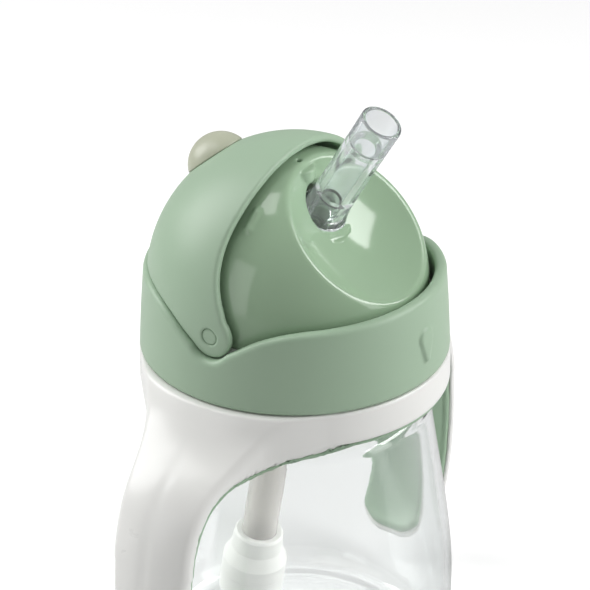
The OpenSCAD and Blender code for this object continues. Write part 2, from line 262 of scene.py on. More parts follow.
# %% Clear plastic
def clear(name, face, edge, rough, ior, bump, power, milk=0.0, passed=0.96):
    """Clear plastic coloured from face to edge, which lets the given share of light past."""
    made, tree, bsdf = shader(name)
    link = tree.links.new
    facing = node(tree, "ShaderNodeLayerWeight")
    facing.inputs["Blend"].default_value = 0.5
    steep = node(tree, "ShaderNodeMath", operation="POWER")
    steep.inputs[1].default_value = power
    tint = node(tree, "ShaderNodeMix", data_type="RGBA")
    tint.inputs["A"].default_value = (*face, 1)
    tint.inputs["B"].default_value = (*edge, 1)
    link(facing.outputs["Facing"], steep.inputs[0])
    link(steep.outputs[0], tint.inputs["Factor"])
    link(tint.outputs["Result"], bsdf.inputs["Base Color"])
    bsdf.inputs["Transmission Weight"].default_value = 1.0 - milk
    bsdf.inputs["Roughness"].default_value = rough
    bsdf.inputs["IOR"].default_value = ior
    grainy(tree, bsdf, 400.0, 1.5, bump)
    ray = node(tree, "ShaderNodeLightPath")
    see_through = node(tree, "ShaderNodeBsdfTransparent")
    see_through.inputs["Color"].default_value = (passed, passed, passed, 1)
    choice = node(tree, "ShaderNodeMixShader")
    link(ray.outputs["Is Shadow Ray"], choice.inputs["Fac"])
    link(bsdf.outputs["BSDF"], choice.inputs[1])
    link(see_through.outputs["BSDF"], choice.inputs[2])
    link(choice.outputs["Shader"], tree.nodes["Material Output"].inputs["Surface"])
    return made


print("clear recipe ready")

# %% [markdown]
# ## The finishes of this bottle
# Three sage greens (matte collar and cover, polished dome, soft liner), the white of the handles, the
# cream of the knob, the natural plastic of the inner pieces, two clear ones, the milky straw and the
# weight's steel.

# %% Coloured finishes
mats = {
    "sage_matte": plastic("sage_matte", (0.340, 0.465, 0.336), 0.42, grain=2600, bump=0.012, spec=0.45, glow=0.06),
    "sage_gloss": plastic("sage_gloss", (0.312, 0.445, 0.298), 0.11, grain=900, bump=0.002, smudge=0.04, spec=0.55,
                          wave=1.0, glow=0.05),
    "sage_soft": plastic("sage_soft", (0.30, 0.43, 0.30), 0.38, grain=2600, bump=0.01, spec=0.45, glow=0.05),
    "white_plastic": plastic("white_plastic", (0.81, 0.81, 0.785), 0.28, grain=1600, bump=0.004, shift=0.008,
                             smudge=0.03, glow=0.1),
    "cream_satin": plastic("cream_satin", (0.45, 0.47, 0.36), 0.34, grain=2600, bump=0.008, shift=0.04, glow=0.1),
    "natural_plastic": plastic("natural_plastic", (0.80, 0.81, 0.78), 0.3, grain=1600, bump=0.004, shift=0.03,
                               glow=0.2),
    "steel": plastic("steel", (0.62, 0.63, 0.65), 0.3, grain=1500, bump=0.006),
}
mats["steel"].node_tree.nodes["Principled BSDF"].inputs["Metallic"].default_value = 1.0
print("coloured finishes:", ", ".join(sorted(mats)))

# %% Clear finishes
mats["milky_silicone"] = plastic("milky_silicone", (0.96, 0.94, 0.905), 0.25, grain=1200, bump=0.004, shift=0.02,
                                 transmission=0.6, ior=1.41)
mats["clear_plastic"] = clear("clear_plastic", (0.96, 0.97, 0.967), (0.75, 0.79, 0.785), 0.03, 1.5, 0.004, 1.6)
mats["clear_silicone"] = clear("clear_silicone", (0.955, 0.97, 0.975), (0.72, 0.79, 0.83), 0.07, 1.41, 0.006, 1.5,
                               milk=0.08)
print("all finishes:", len(mats))

# %% [markdown]
# ## Shapes as distances
# Moulded plastic has a round on every edge, often a different one on each. Bevels could make them on a
# mesh, but they tear where many curved faces meet. A signed distance, negative inside, describes a shape
# as a formula instead: `both` keeps what is inside two shapes and rounds the outside corner between them,
# and `either` joins two shapes and fills the inside corner.


# %% Distance helpers
def both(a, b, r):
    u = np.maximum(a + r, 0.0)
    v = np.maximum(b + r, 0.0)
    return np.minimum(-r, np.maximum(a, b)) + np.sqrt(u * u + v * v)


def either(a, b, r):
    u = np.maximum(r - a, 0.0)
    v = np.maximum(r - b, 0.0)
    return np.maximum(r, np.minimum(a, b)) - np.sqrt(u * u + v * v)


def soft_min(a, b, k):
    h = np.clip(0.5 + 0.5 * (b - a) / k, 0.0, 1.0)
    return b + (a - b) * h - k * h * (1.0 - h)


def smooth(t):
    t = np.clip(t, 0.0, 1.0)
    return t * t * (3.0 - 2.0 * t)


def along_axis(p, base, axis):
    """Distance along an axis from its base, and distance from the axis."""
    d = p - base
    s = d @ axis
    return s, np.linalg.norm(d - s[..., None] * axis, axis=-1)


print("distance helpers ready")

# %% [markdown]
# ## From a distance to a mesh
# A regular grid is sampled. Each cell that the surface crosses gets one vertex, and each grid edge that
# it crosses gets one quad, which makes a closed net of even faces. The vertices then slide along the
# gradient until they lie on the exact surface. A left and right half that are alike are sampled once and
# mirrored.


# %% Sampling
def sample(f, lo, hi, step, mirrored):
    """Axes of a grid in a box and the values of f on it; a mirrored axis is worked out on one side."""
    axes = []
    for k in range(3):
        n = int(math.ceil((hi[k] - (0.0 if mirrored[k] else lo[k])) / step)) + 1
        axes.append((np.arange(n) + 0.5) * step if mirrored[k] else lo[k] + np.arange(n) * step)
    layers = []
    for z in axes[2]:
        gx, gy = np.meshgrid(axes[0], axes[1], indexing="ij")
        points = np.stack([gx.ravel(), gy.ravel(), np.full(gx.size, z)], axis=1)
        layers.append(f(points).reshape(gx.shape))
    values = np.stack(layers, axis=2)
    for k in range(2):
        if mirrored[k]:
            values = np.concatenate([np.flip(values, k), values], axis=k)
            axes[k] = np.concatenate([-axes[k][::-1], axes[k]])
    return axes, values


def settle(f, points, step, rounds=4, h=0.02):
    """Points moved along the gradient of f onto its surface."""
    for _ in range(rounds):
        d = f(points)
        slope = np.empty_like(points)
        for k in range(3):
            reach = np.zeros(3)
            reach[k] = h
            slope[:, k] = (f(points + reach) - f(points - reach)) / (2 * h)
        move = -(d / np.maximum((slope * slope).sum(1), 0.05))[:, None] * slope
        size = np.linalg.norm(move, axis=1, keepdims=True)
        points = points + move * np.minimum(1.0, 0.5 * step / np.maximum(size, 1e-9))
    return points


print("sampling ready")


# %% Net
def cells_around(idx, others):
    """The four cells around each grid edge, in order."""
    for du, dv in ((0, 0), (1, 0), (1, 1), (0, 1)):
        cell = idx.copy()
        cell[:, others[0]] -= du
        cell[:, others[1]] -= dv
        yield cell


def net(f, lo, hi, step, mirror_x=False, mirror_y=False):
    """Closed quad mesh of f = 0 inside a box, as (points in mm, quads)."""
    axes, v = sample(f, lo, hi, step, (mirror_x, mirror_y, False))
    inside = v < 0
    shape = tuple(n - 1 for n in v.shape)
    total, count = np.zeros(shape + (3,)), np.zeros(shape)
    edges = []
    for k in range(3):
        first = tuple(slice(0, -1) if d == k else slice(None) for d in range(3))
        second = tuple(slice(1, None) if d == k else slice(None) for d in range(3))
        cross = inside[first] != inside[second]
        idx = np.argwhere(cross)
        on_edge = np.stack([axes[d][idx[:, d]] for d in range(3)], axis=1)
        on_edge[:, k] += v[first][cross] / (v[first][cross] - v[second][cross]) * step
        others = [d for d in range(3) if d != k]
        for cell in cells_around(idx, others):
            ok = np.all((cell >= 0) & (cell < np.array(shape)), axis=1)
            np.add.at(total, tuple(cell[ok].T), on_edge[ok])
            np.add.at(count, tuple(cell[ok].T), 1)
        edges.append((k, others, idx, inside[first][cross]))
    number = -np.ones(shape, dtype=np.int64)
    number[count > 0] = np.arange(int((count > 0).sum()))
    quads = []
    for k, others, idx, solid_first in edges:
        cells = list(cells_around(idx, others))
        ok = np.all([np.all((c >= 0) & (c < np.array(shape)), axis=1) for c in cells], axis=0)
        q = np.stack([number[tuple(c[ok].T)] for c in cells], axis=1)
        flip = solid_first[ok] == (k == 1)
        q[flip] = q[flip][:, ::-1]
        quads.append(q)
    points = total[count > 0] / count[count > 0][:, None]
    return settle(f, points, step), np.concatenate(quads)


print("net ready")

# %% [markdown]
# ## From a mesh to a piece
# A piece's place is in its mesh, so its object stays at the origin.


# %% Piece maker
def mesh_object(name, points, faces, body, replaces=(), smooth_all=True):
    """A piece from points in mm, riding on a body if one is named, and standing for CAD nodes."""
    mesh = bpy.data.meshes.new(name)
    mesh.from_pydata((np.asarray(points) / 1000.0).tolist(), [], [list(map(int, f)) for f in faces])
    mesh.update()
    made = bpy.data.objects.new(name, mesh)
    scene.collection.objects.link(made)
    outward = bmesh.new()
    outward.from_mesh(mesh)
    bmesh.ops.recalc_face_normals(outward, faces=outward.faces)
    outward.to_mesh(mesh)
    outward.free()
    if smooth_all:
        mesh.polygons.foreach_set("use_smooth", [True] * len(mesh.polygons))
    if body:
        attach(made, body)
    if replaces:
        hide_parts(*replaces)
        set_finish(made, MAT_SLOT[replaces[0]])
    return made


print("piece maker ready")

# %% [markdown]
# ## Turned shapes
# The bottle, spout, straw, knob and pins are round about an axis. The Spin tool could make them, but it
# leaves a seam to merge. Here a closed outline in radius and height has its corners rounded, and is then
# turned with shared points, so that the skin is closed from the start.


# %% Rounded outline
def rounded(outline, radii, n=6):
    """Closed outline with its corners rounded by the given radii."""
    out = []
    m = len(outline)
    for i in range(m):
        p = np.array(outline[i], float)
        a = np.array(outline[i - 1], float) - p
        b = np.array(outline[(i + 1) % m], float) - p
        r = radii[i] if isinstance(radii, (list, tuple)) else radii
        la, lb = np.linalg.norm(a), np.linalg.norm(b)
        if r <= 0 or la < 1e-6 or lb < 1e-6:
            out.append(p)
            continue
        a, b = a / la, b / lb
        cos = float(np.clip(a @ b, -1, 1))
        half = math.acos(cos) / 2
        if half > 1.5:
            out.append(p)
            continue
        cut = min(r / math.tan(half), 0.45 * la, 0.45 * lb)
        rr = cut * math.tan(half)
        centre = p + (a + b) / np.linalg.norm(a + b) * (rr / math.sin(half))
        s, e = p + a * cut - centre, p + b * cut - centre
        t0 = math.atan2(s[1], s[0])
        dt = (math.atan2(e[1], e[0]) - t0 + math.pi) % (2 * math.pi) - math.pi
        for k in range(n + 1):
            t = t0 + dt * k / n
            out.append(centre + rr * np.array([math.cos(t), math.sin(t)]))
    return np.array(out)


print("outline helper ready")


# %% Lathe
def lathe(outline, base, axis, segments=96):
    """Turns a closed outline (radius, height) about an axis. Points on the axis close it."""
    axis = np.array(axis, float)
    axis /= np.linalg.norm(axis)
    u = np.array([1.0, 0.0, 0.0]) if abs(axis[0]) < 0.9 else np.array([0.0, 1.0, 0.0])
    u = u - (u @ axis) * axis
    u /= np.linalg.norm(u)
    w = np.cross(axis, u)
    pts, rings = [], []
    for r, h in outline:
        if r < 1e-6:
            rings.append([len(pts)] * segments)
            pts.append(np.array(base) + h * axis)
            continue
        ring = []
        for i in range(segments):
            t = 2 * math.pi * i / segments
            ring.append(len(pts))
            pts.append(np.array(base) + h * axis + r * (math.cos(t) * u + math.sin(t) * w))
        rings.append(ring)
    faces = []
    m = len(rings)
    for j in range(m):
        a, b = rings[j], rings[(j + 1) % m]
        for i in range(segments):
            k = (i + 1) % segments
            f = [a[i], a[k], b[k], b[i]]
            g = [x for n, x in enumerate(f) if x != f[n - 1]]
            if len(set(g)) >= 3:
                faces.append(g)
    return pts, faces


print("lathe ready")

# %% [markdown]
# ## The lid's edge line
# Seen from the side, the collar's top edge is a steep line past the ear, a long bend and an almost level
# line. Both edges of the cover follow the same line, so that they meet the collar with an even gap when
# the cover is open and when it is closed. One function serves all three edges.

# %% Edge line
STEEP, LEVEL, BEND_R = math.radians(33.0), math.radians(3.3), 30.0


def below_edge(y, z, lift=0.0):
    """Signed distance to the material below the edge line; z is measured from the pins."""
    past_ear = EAR_R - 0.1 - lift
    at_pin = 2.97 + lift / math.cos(LEVEL)
    r = BEND_R + lift
    n1 = np.array([math.sin(STEEP), -math.cos(STEEP)])
    n2 = np.array([math.sin(LEVEL), -math.cos(LEVEL)])
    corner = (at_pin + past_ear / math.cos(STEEP)) / (math.tan(STEEP) - math.tan(LEVEL))
    c = np.array([corner, at_pin + corner * math.tan(LEVEL)]) + r * (n1 + n2) / (1 + n1 @ n2)
    steep = past_ear - (y * n1[0] + z * n1[1])
    level = -(y * n2[0] + (z - at_pin) * n2[1])
    angle = np.arctan2(z - c[1], y - c[0])
    bend = np.hypot(y - c[0], z - c[1]) - r
    return np.where(angle > math.pi / 2 + STEEP, steep, np.where(angle < math.pi / 2 + LEVEL, level, bend))


print("edge height at the front:", round(float(-below_edge(np.array([38.0]), np.array([0.0]))[0]), 2))

# %% [markdown]
# ## Collar
# The matte green band that a hand grips to unscrew the lid. It is slightly tapered and bowed, its top
# edge is rolled over, a round notch on each side clears the cover's ear, and a small raised drop marks
# the front. A lathe can't give it a wavy top edge, so it is a distance: wall, edge line and notches are
# met with rounds.


# %% Collar
def raised_drop(x, h, outer):
    """A drop that stands 0.7 mm out of the front wall, wide above and narrow below."""
    low, tall = 6.8, 5.2
    t = np.clip((h - low) / tall, 0, 1)
    drop = np.hypot(x, h - (low + tall * t)) - (1.2 + 1.75 * t)
    return both(drop, outer - 0.7, 0.75)


def collar_f(p):
    x, y, z = p[:, 0], p[:, 1], p[:, 2]
    r = np.hypot(x, y)
    h = z - COLLAR_Z
    outer = r - (39.42 - 0.047 * h - 0.0009 * h * h)
    inner = np.where(z > 102.2, 35.0, 36.6) - r
    bottom = COLLAR_Z + 0.3 - z
    from_pin = z - PIN_Z
    above = np.maximum(-below_edge(np.abs(y), from_pin), -(from_pin + 4.6))
    notch = np.hypot(y, from_pin) - (EAR_R + 0.3)
    keep = -np.minimum(above, notch)
    f = np.maximum(both(outer, keep, 1.25), both(inner, keep, 0.9))
    f = both(f, bottom, 0.5)
    pad = np.maximum(raised_drop(x, h, outer), np.maximum(-outer - 0.8, y))
    return either(f, pad, 0.25)


pts, quads = net(collar_f, (-40, -40, 94.6), (40, 40, 119.5), 0.6, mirror_x=True)
collar = mesh_object("collar", pts, quads, "lid", ["lid_collar"])
print("collar", len(quads), "quads")

# %% [markdown]
# ## Dome
# The glossy half ball on the lid's deck. Its drinking side is dished, so that the soft spout has room to
# fold down, and the dish is part of a large ball. Each flank has a long bump that the cover snaps over.
# Booleans and a bevel would break up where the dish runs out into the ball at a low angle, which is just
# where the eye goes. The same distances also give the seat that holds the spout, the pin bosses and the
# cup of the air valve.

# %% Dome's ball and dish
DOME_WALL = 2.2
DISH_R, DISH_FAR = 38.4, 59.2


def dome_body(p, shrink):
    """The ball with its dish, shrunk by a wall if wanted."""
    d = p - PINS
    up = np.where(d[:, 2] < 0, 0.0, d[:, 2])
    ball = np.sqrt(d[:, 0] ** 2 + d[:, 1] ** 2 + up**2) - (DOME_R - shrink)
    dish = (DISH_R + shrink) - np.linalg.norm(d - DISH_FAR * DISH_N, axis=1)
    return both(ball, dish, 1.0)


print("dish is", round(DISH_R + DOME_R - DISH_FAR, 2), "mm deep at its middle")

# %% Dome's bumps and valve cup
BUMP_DOWN, BUMP_TILT = math.radians(40.0), math.radians(5.5)
VENT_SIDE, VENT_TILT = math.radians(-2.5), math.radians(3.6)
VENT_DIR = np.array([math.sin(VENT_SIDE), -math.cos(VENT_SIDE) * math.sin(VENT_TILT),
                     math.cos(VENT_SIDE) * math.cos(VENT_TILT)])


def bumps(d):
    """The long bump on each flank, which stands 0.6 mm out of the ball."""
    s, c = math.sin(BUMP_DOWN), math.cos(BUMP_DOWN)
    middle = (DOME_R - 0.75) * np.array([s, -math.sin(BUMP_TILT) * c, math.cos(BUMP_TILT) * c])
    run = np.array([c, 0.0, -s])
    q = np.stack([np.abs(d[:, 0]), d[:, 1], d[:, 2]], axis=1) - middle
    t = np.clip(q @ run, -2.4, 2.4)
    return np.linalg.norm(q - t[:, None] * run, axis=1) - 1.35


def vented(f, p):
    """The dome with the air valve's cup added inside and a small hole above it."""
    along, off = along_axis(p, PINS, VENT_DIR)
    f = np.minimum(f, np.maximum(off - 4.2, np.maximum(28.8 - along, along - 32.4)))
    f = np.maximum(f, -np.maximum(off - 3.1, along - 31.2))
    return both(f, -np.maximum(off - 0.75, -along), 0.25)


print("vent direction", VENT_DIR.round(3))


# %% Dome
def dome_f(p):
    d = p - PINS
    side, off_pin = np.abs(d[:, 0]), np.hypot(d[:, 1], d[:, 2])
    along, off = along_axis(p, SPOUT_BASE, SPOUT_DIR)
    shell = np.maximum(dome_body(p, 0.0), -dome_body(p, DOME_WALL))
    seat = both(off - 8.2, np.maximum(along + 0.4, -4.5 - along), 0.3)
    boss = both(off_pin - 3.5, np.maximum(side - 34.7, 29.3 - side), 0.2)
    f = either(np.minimum(np.minimum(shell, seat), boss), bumps(d), 0.35)
    f = both(f, -both(off - 6.5, -along, 0.2), 0.35)
    f = both(f, -np.maximum(off - 4.75, -6.0 - along), 0.15)
    f = vented(f, p)
    pin_bore = np.maximum(off_pin - 2.12, 27.0 - side)
    return np.maximum(np.maximum(f, -pin_bore), 108.82 - p[:, 2])


pts, quads = net(dome_f, (-36, -36, 108.0), (36, 36, 147.5), 0.6)
dome = mesh_object("dome", pts, quads, "lid", ["lid_dome"])
print("dome", len(quads), "quads")

# %% [markdown]
# ## Cover
# A thin ball-shaped shell that swings over the spout. Its outline is a fan between two copies of the
# lid's edge line, one turned by the whole swing, with a round ear about each pin. Cutting a sphere by
# hand would need the outline twice, once for each skin. Here the outline is one distance, and the outer
# and inner skins each meet it with their own round.


# %% Cover's outline
def cover_outline(y, z):
    gap = 0.3
    rear = below_edge(y, z, gap)
    turned_y = -(y * math.cos(FLIP) - z * math.sin(FLIP))
    turned_z = y * math.sin(FLIP) + z * math.cos(FLIP)
    front = below_edge(turned_y, turned_z, gap)
    half = (math.pi - FLIP) / 2
    middle = y * math.cos(half) + z * math.sin(half)
    fan = np.maximum(np.maximum(-rear, -front), -(middle + 1.6))
    return soft_min(fan, np.hypot(y, z) - EAR_R, 0.6)


print("cover swings", round(math.degrees(FLIP)), "degrees")

# %% Cover
COVER_WALL = 2.0
KNOB_RISE = math.radians(41)
KNOB_DIR = np.array([0.0, math.sin(KNOB_RISE), math.cos(KNOB_RISE)])


def cover_f(p):
    d = p - PINS
    r = np.linalg.norm(d, axis=1)
    outline = cover_outline(d[:, 1], d[:, 2])
    f = np.maximum(both(r - COVER_R, outline, 0.75), both(COVER_R - COVER_WALL - r, outline, 0.5))
    f = both(f, -(np.hypot(d[:, 1], d[:, 2]) - 2.15), 0.4)
    along, off = along_axis(p, PINS, KNOB_DIR)
    return np.maximum(f, -np.maximum(off - 3.05, -along))


pts, quads = net(cover_f, (-38, -8, 105.5), (38, 38, 150.5), 0.55, mirror_x=True)
cover = mesh_object("cover", pts, quads, "cover", ["flip_cover"])
print("cover", len(quads), "quads")

# %% [markdown]
# ## Knob and hinge pins
# The cream knob is a ball that sits on the cover with a hollow underside, and its stem plugs into the
# cover's hole. The pins are plain, with a slightly dished end that shows in the middle of each ear. All
# three are round, so they are turned. The angles at which the ball meets the cover come from the triangle
# between both centres.

# %% Knob
KNOB_R, KNOB_FAR, SEAT_R = 8.4, 34.0, COVER_R + 0.03
seat_end = math.acos((SEAT_R**2 + KNOB_FAR**2 - KNOB_R**2) / (2 * SEAT_R * KNOB_FAR))
ball_end = math.pi - math.acos((KNOB_FAR**2 + KNOB_R**2 - SEAT_R**2) / (2 * KNOB_FAR * KNOB_R))
outline = [(KNOB_R * math.sin(a), KNOB_FAR + KNOB_R * math.cos(a)) for a in np.linspace(0, ball_end, 40)]
outline[-1] = (outline[-1][0] - 0.25, outline[-1][1] + 0.05)
outline += [(SEAT_R * math.sin(a), SEAT_R * math.cos(a)) for a in np.linspace(seat_end * 0.93, seat_end * 0.4, 8)]
outline += [(3.0, 37.2), (3.0, 35.3), (2.8, 35.1), (0.0, 35.1)]
pts, faces = lathe(outline, PINS, KNOB_DIR, 128)
knob = mesh_object("knob", pts, faces, "cover", ["cover_knob"])
print("knob", len(faces), "faces")

# %% Hinge pins
PIN_R = 2.1
for side, name in ((-1, "left"), (1, "right")):
    outline = rounded([(0, 29.4), (PIN_R, 29.4), (PIN_R, 37.05), (0, 36.95)], [0, 0.1, 0.45, 0])
    pts, faces = lathe(outline, PINS, (side, 0, 0), 64)
    mesh_object("pin_" + name, pts, faces, "lid", ["hinge_pin_" + name])
print("two pins, radius", PIN_R, "mm")

# %% [markdown]
# ## Handles
# The white ring and both straps are one moulding. A strap is a crowned band that follows a curve in the
# X-Z plane, and near the ring it wraps round it, widens and flows into it. A curve with a bevel profile
# would give the band but not the flow into the ring, so the band is a distance too: a point is given a
# distance from the band's face, a place along it and the band's half width there. The curve's points are
# given as distance from the axis and height below the collar.

# %% Handle curve
ROUTE = [(36.6, 1.0), (40.0, -0.35), (42.2, -2.3), (44.6, -6.0), (48.6, -9.9), (54.6, -13.6), (59.3, -17.8),
         (62.6, -23.2), (64.7, -30.0), (65.8, -38.0), (66.2, -47.0), (66.0, -56.0), (65.0, -65.0), (62.9, -73.0),
         (59.6, -80.0), (55.2, -85.0), (51.6, -87.0)]
STATIONS = 241


def spline(route, per):
    """Smooth curve through points, evenly sampled, and the length along it."""
    p = np.array(route, float)
    p = np.vstack([2 * p[0] - p[1], p, 2 * p[-1] - p[-2]])
    out = []
    for a, b, c, d in zip(p, p[1:], p[2:], p[3:]):
        for t in np.arange(per) / per:
            bend = (2 * a - 5 * b + 4 * c - d) * t * t + (3 * b - a - 3 * c + d) * t**3
            out.append(0.5 * (2 * b + (c - a) * t + bend))
    out = np.array(out + [p[-2]])
    s = np.concatenate([[0], np.cumsum(np.linalg.norm(np.diff(out, axis=0), axis=1))])
    even = np.linspace(0, s[-1], STATIONS)
    return np.stack([np.interp(even, s, out[:, 0]), np.interp(even, s, out[:, 1])], axis=1), even


LINE, LINE_S = spline(ROUTE, 24)
for _ in range(30):
    LINE[1:-1] = 0.25 * LINE[:-2] + 0.5 * LINE[1:-1] + 0.25 * LINE[2:]
TAN = np.gradient(LINE, axis=0)
TAN /= np.linalg.norm(TAN, axis=1, keepdims=True)
NOR = np.stack([-TAN[:, 1], TAN[:, 0]], axis=1)
BENDING = np.gradient(np.unwrap(np.arctan2(TAN[:, 1], TAN[:, 0])), LINE_S)
print("strap length", round(float(LINE_S[-1]), 1), "mm")

# %% Strap's widths
UPPER_W, LOWER_W, NARROWS = 11.3, 11.0, LINE_S[110]
WIDTH = np.interp(LINE_S, [NARROWS, NARROWS + 0.6], [UPPER_W, LOWER_W])
CROWN = np.interp(LINE[:, 0], [38, 46, 54, 60], [0.0, 0.6, 1.8, 2.2])
# the flared root: half width and underside height at each distance from the bottle's axis
ROOT_R = [37.3, 38.8, 40.6, 42.3, 45.3, 49.2, 53.5, 57.3, 60.3, 62.3]
ROOT_W = [31.4, 26.4, 21.8, 18.6, 16.0, 14.0, 12.6, 11.9, 11.5, 11.2]
ROOT_Z = [-9.1, -9.6, -11.6, -12.8, -13.8, -14.8, -17.2, -20.4, -25.0, -30.0]


def root_at(r, values):
    """A value of the flared root at distance r from the axis, with its corners smoothed."""
    return sum(np.interp(r + d, ROOT_R, values) for d in (-1.2, -0.6, 0.0, 0.6, 1.2)) / 5.0


print("half width", ROOT_W[0], "mm at the ring,", LOWER_W, "mm at the free end")


# %% Place on a strap
def nearest_station(q):
    """The station of the curve that is nearest to each point, from a coarse and then a fine search."""
    coarse = np.arange(0, STATIONS, 8)
    start = coarse[np.argmin(((q[:, None, :] - LINE[coarse][None]) ** 2).sum(2), axis=1)]
    best, station = np.full(len(q), 1e9), start.copy()
    for o in range(-8, 9):
        k = np.clip(start + o, 0, STATIONS - 1)
        away = ((q - LINE[k]) ** 2).sum(1)
        station = np.where(away < best, k, station)
        best = np.minimum(away, best)
    return station


def strap_coords(p):
    """Distance from the strap's face (positive outside), place along it, half width, crown and |y|."""
    x, y = np.abs(p[:, 0]), np.abs(p[:, 1])
    r = np.hypot(x, y)
    wrapped = x + (r - x) * smooth((56.0 - r) / 14.0)
    q = np.stack([wrapped, p[:, 2] - COLLAR_Z], axis=1)
    k = nearest_station(q)
    v = q - LINE[k]
    past = (v * TAN[k]).sum(1)
    n = (v * NOR[k]).sum(1) - 0.5 * BENDING[k] * past * past
    s = LINE_S[k] + past
    near = smooth((p[:, 2] - COLLAR_Z + 34.0) / 8.0)
    w = near * root_at(r, ROOT_W) + (1 - near) * np.interp(s, LINE_S, WIDTH)
    return n, s, w, np.interp(s, LINE_S, CROWN), y


print("strap coordinates ready")


# %% Ring and root
def ring_f(p):
    """The band that grips the bottle's shoulder."""
    r, z = np.hypot(p[:, 0], p[:, 1]), p[:, 2]
    outer = r - (39.5 + 0.02 * (COLLAR_Z - z))
    f = both(both(outer, RING_LOW - z, 1.1), z - COLLAR_Z, 0.5)
    ledge = COLLAR_Z - 2.4
    inner = np.where(z > ledge, 32.0 - r, 34.6 - r + 0.36 * np.maximum(ledge - z, 0))
    return np.maximum(f, inner)


def root(p, m, y, w, drop, start):
    """The wedge that carries the strap out of the ring, down to drop below its underside."""
    r = np.hypot(p[:, 0], p[:, 1])
    under = root_at(r, ROOT_Z) - drop - (p[:, 2] - COLLAR_Z)
    return np.maximum(both(m, both(under, y - w, 0.35), 2.6), np.maximum(start - r, r - 56.0))


print("ring from", RING_LOW, "to", COLLAR_Z, "mm")


# %% White handles
def shell_f(p):
    n, s, w, crown, y = strap_coords(p)
    ridge = 0.15 * (np.exp(-((y / 1.6) ** 2)) - 1.0) * smooth((s - 10) / 16)
    m = n + crown * (y / w) ** 2 + ridge
    side = both(y - w, s - LINE_S[-1], 8.0)
    strap = np.maximum(both(m, side, 1.7), both(-2.8 - m, side, 0.35))
    strap = np.maximum(strap, 38.0 - np.hypot(p[:, 0], p[:, 1]))
    strap = np.minimum(strap, root(p, m, y, w, 0.0, 37.2))
    return both(either(strap, ring_f(p), 4.0), p[:, 2] - COLLAR_Z, 0.5)


pts, quads = net(shell_f, (-68, -40, 6.0), (68, 41, 96.2), 0.6, mirror_x=True, mirror_y=True)
handle = mesh_object("handles", pts, quads, "bottle", ["handle_shell"])
print("handles", len(quads), "quads")

# %% [markdown]
# ## Liner
# A softer green plastic is moulded onto the inner side of the straps and the underside of the ring, where
# fingers go. It shows as a thin line along the white edge. It uses the strap's own coordinates, a little
# narrower and further in, and the white moulding is then taken away from it, so that the two skins never
# lie in the same place.


# %% Green liner
def liner_f(p):
    n, s, w, crown, y = strap_coords(p)
    r, z = np.hypot(p[:, 0], p[:, 1]), p[:, 2]
    m = n + crown * (y / w) ** 2
    side = both(y - (w - 0.55), s - (LINE_S[-1] - 0.5), 8.0)
    strap = np.maximum(both(-5.0 - m, side, 1.6), np.maximum(m + 1.0, side))
    strap = np.maximum(strap, 36.0 - r)
    strap = np.minimum(strap, root(p, m + 1.0, y, w - 0.25, 1.1, 36.0))
    ring = both(both(r - 38.95, RING_LOW - 1.05 - z, 0.5), z - (RING_LOW + 4.0), 0.2)
    f = either(strap, np.maximum(ring, 33.8 - r), 4.0)
    return both(f, 0.1 - shell_f(p), 0.15)


pts, quads = net(liner_f, (-66, -40, 6.0), (66, 40, 92.5), 0.6, mirror_x=True, mirror_y=True)
liner = mesh_object("liner", pts, quads, "bottle", ["handle_liner"])
print("liner", len(quads), "quads")

# %% [markdown]
# ## Bottle
# A blown bottle has one even wall, a bulging belly, a shoulder that narrows to the neck, and a foot
# pushed up in the middle. Its outside is three curves, and the inside is the same curves moved in by the
# wall, which keeps the wall even where Solidify would need care at the lip. Turning the outline closes
# both skins at once.

# %% Bottle
WALL = 2.0
NECK_R, NECK_BORE = 31.5, 29.5
FOOT = [(35, 0), (39.6, 0.1), (41.8, 8), (41.8, 24)]
BODY = [(41.8, 24), (41.8, 40), (38.0, 56), (35.0, 77.5)]
NECK = [(35.0, 77.5), (34.48, 81.2), (NECK_R, 80.2), (NECK_R, 84.4)]


def bezier(corners, n, wall=0.0):
    """Points on a Bezier curve, moved sideways by a wall."""
    p = np.array(corners, float)
    out = []
    for t in np.linspace(0, 1, n):
        a = p[0] * (1 - t) ** 3 + 3 * p[1] * (1 - t) ** 2 * t + 3 * p[2] * (1 - t) * t * t + p[3] * t**3
        d = 3 * (p[1] - p[0]) * (1 - t) ** 2 + 6 * (p[2] - p[1]) * (1 - t) * t + 3 * (p[3] - p[2]) * t * t
        d /= np.linalg.norm(d)
        out.append(a + wall * np.array([-d[1], d[0]]))
    return out


underside = [(0, 3.2), (6, 3.15), (12, 2.9), (18, 2.35), (24, 1.6), (28, 0.75), (31, 0.08), (32, 0)]
outer = underside + bezier(FOOT, 24) + bezier(BODY, 48)[1:] + bezier(NECK, 16)[1:]
outer += [(NECK_R, z) for z in np.arange(87.6, 104.5, 0.3)]
lip = [(NECK_R, 104.6), (31.3, 104.9), (30.9, 105.0), (30.0, 105.0), (29.7, 104.85), (NECK_BORE, 104.5)]
inner = [(NECK_BORE, z) for z in (101, 96, 91, 88.5)]
inner += bezier(NECK, 16, WALL)[::-1][1:] + bezier(BODY, 48, WALL)[::-1][1:] + bezier(FOOT, 24, WALL)[::-1][1:-4]
inner += [(31, 2.6), (28, 3.1), (24, 3.9), (18, 4.6), (12, 5.1), (6, 5.35), (0, 5.4)]
pts, faces = lathe(outer + lip + inner, (0, 0, 0), (0, 0, 1), 160)
bottle = mesh_object("bottle", pts, faces, "bottle", ["bottle_body"])
print("bottle", len(faces), "faces")

